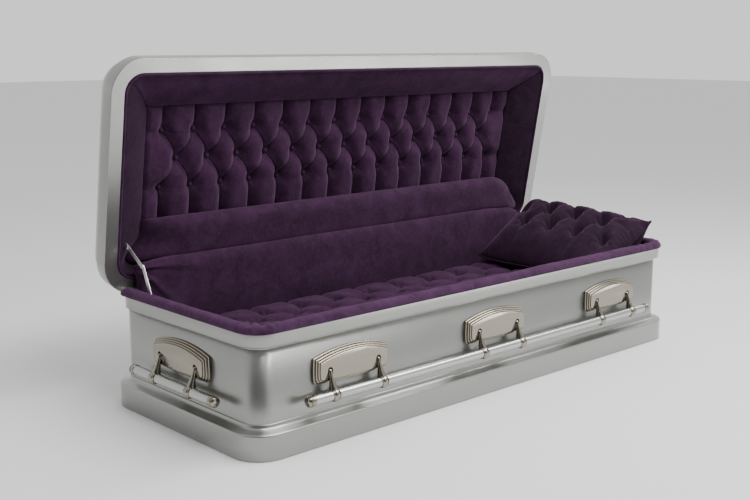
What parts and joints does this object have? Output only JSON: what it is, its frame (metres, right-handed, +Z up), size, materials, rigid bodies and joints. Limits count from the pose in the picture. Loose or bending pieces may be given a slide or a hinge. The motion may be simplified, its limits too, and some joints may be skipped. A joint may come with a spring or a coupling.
{
  "type": "casket",
  "caption": "Full-couch metal casket with hinged lid standing open, swing-bar handles on all sides and a tufted velvet interior.",
  "frame": {"origin": "middle of the underside", "axes": "+X along the length to the head end, +Y to the hinge side, +Z up"},
  "size_m": [2.1576, 0.9643, 1.1407],
  "materials": {
    "silver_paint": "satin metallic paint",
    "polished_nickel": "polished warm nickel",
    "satin_bar": "satin",
    "plain_steel": "plain",
    "velvet": "purple velvet with a mottled nap"
  },
  "bodies": {
    "root": {"back_lining": "velvet", "base_moulding": "silver_paint", "body_lining": "velvet", "hinge_leaf_body": "plain_steel", "mattress": "velvet", "pillow": "velvet", "plate_back_1": "polished_nickel", "plate_back_2": "polished_nickel", "plate_back_3": "polished_nickel", "plate_foot_1": "polished_nickel", "plate_front_1": "polished_nickel", "plate_front_2": "polished_nickel", "plate_front_3": "polished_nickel", "plate_head_1": "polished_nickel", "rim_moulding": "silver_paint", "rim_roll": "velvet", "shell_body": "silver_paint", "stay_foot_bracket": "plain_steel"},
    "lid": {"hinge_leaf_lid": "plain_steel", "lid_apron": "velvet", "lid_border": "velvet", "lid_panel": "velvet", "lid_roll": "velvet", "lid_shell": "silver_paint", "stay_lid_bracket": "plain_steel"},
    "stay_lower": {"stay_lower_link": "polished_nickel"},
    "stay_upper": {"stay_upper_link": "polished_nickel"},
    "handle_front": {"arm_front_1": "polished_nickel", "arm_front_2": "polished_nickel", "arm_front_3": "polished_nickel", "arm_front_4": "polished_nickel", "arm_front_5": "polished_nickel", "arm_front_6": "polished_nickel", "bar_front": "satin_bar", "cap_front_1": "polished_nickel", "cap_front_2": "polished_nickel"},
    "handle_back": {"arm_back_1": "polished_nickel", "arm_back_2": "polished_nickel", "arm_back_3": "polished_nickel", "arm_back_4": "polished_nickel", "arm_back_5": "polished_nickel", "arm_back_6": "polished_nickel", "bar_back": "satin_bar", "cap_back_1": "polished_nickel", "cap_back_2": "polished_nickel"},
    "handle_foot": {"arm_foot_1": "polished_nickel", "arm_foot_2": "polished_nickel", "bar_foot": "satin_bar", "cap_foot_1": "polished_nickel", "cap_foot_2": "polished_nickel"},
    "handle_head": {"arm_head_1": "polished_nickel", "arm_head_2": "polished_nickel", "bar_head": "satin_bar", "cap_head_1": "polished_nickel", "cap_head_2": "polished_nickel"}
  },
  "joints": [
    {"name": "lid_hinge", "type": "hinge", "parent": "root", "child": "lid", "pos_m": [0, 0.371, 0.376], "axis": [1, 0, 0], "range_deg": [0, 80.3], "deforming": ["pillow", "rim_roll"]},
    {"name": "stay_lower_pivot", "type": "hinge", "parent": "root", "child": "stay_lower", "pos_m": [-0.984, 0.225, 0.372], "axis": [1, 0, 0], "range_deg": [0, 116.06]},
    {"name": "stay_knuckle", "type": "hinge", "parent": "stay_lower", "child": "stay_upper", "pos_m": [-0.984, 0.2709, 0.4698], "axis": [1, 0, 0], "range_deg": [-137.09, 0]},
    {"name": "handle_front_pivot", "type": "hinge", "parent": "root", "child": "handle_front", "pos_m": [0, -0.3905, 0.222], "axis": [-1, 0, 0], "range_deg": [0, 80]},
    {"name": "handle_back_pivot", "type": "hinge", "parent": "root", "child": "handle_back", "pos_m": [0, 0.3905, 0.222], "axis": [1, 0, 0], "range_deg": [0, 80]},
    {"name": "handle_foot_pivot", "type": "hinge", "parent": "root", "child": "handle_foot", "pos_m": [-1.0375, 0, 0.222], "axis": [0, 1, 0], "range_deg": [0, 80]},
    {"name": "handle_head_pivot", "type": "hinge", "parent": "root", "child": "handle_head", "pos_m": [1.0375, 0, 0.222], "axis": [0, -1, 0], "range_deg": [0, 80]}
  ],
  "couplings": [
    {"joint": "stay_lower_pivot", "follows": "lid_hinge", "ratio": 1.4452},
    {"joint": "stay_knuckle", "follows": "lid_hinge", "ratio": -1.707}
  ]
}
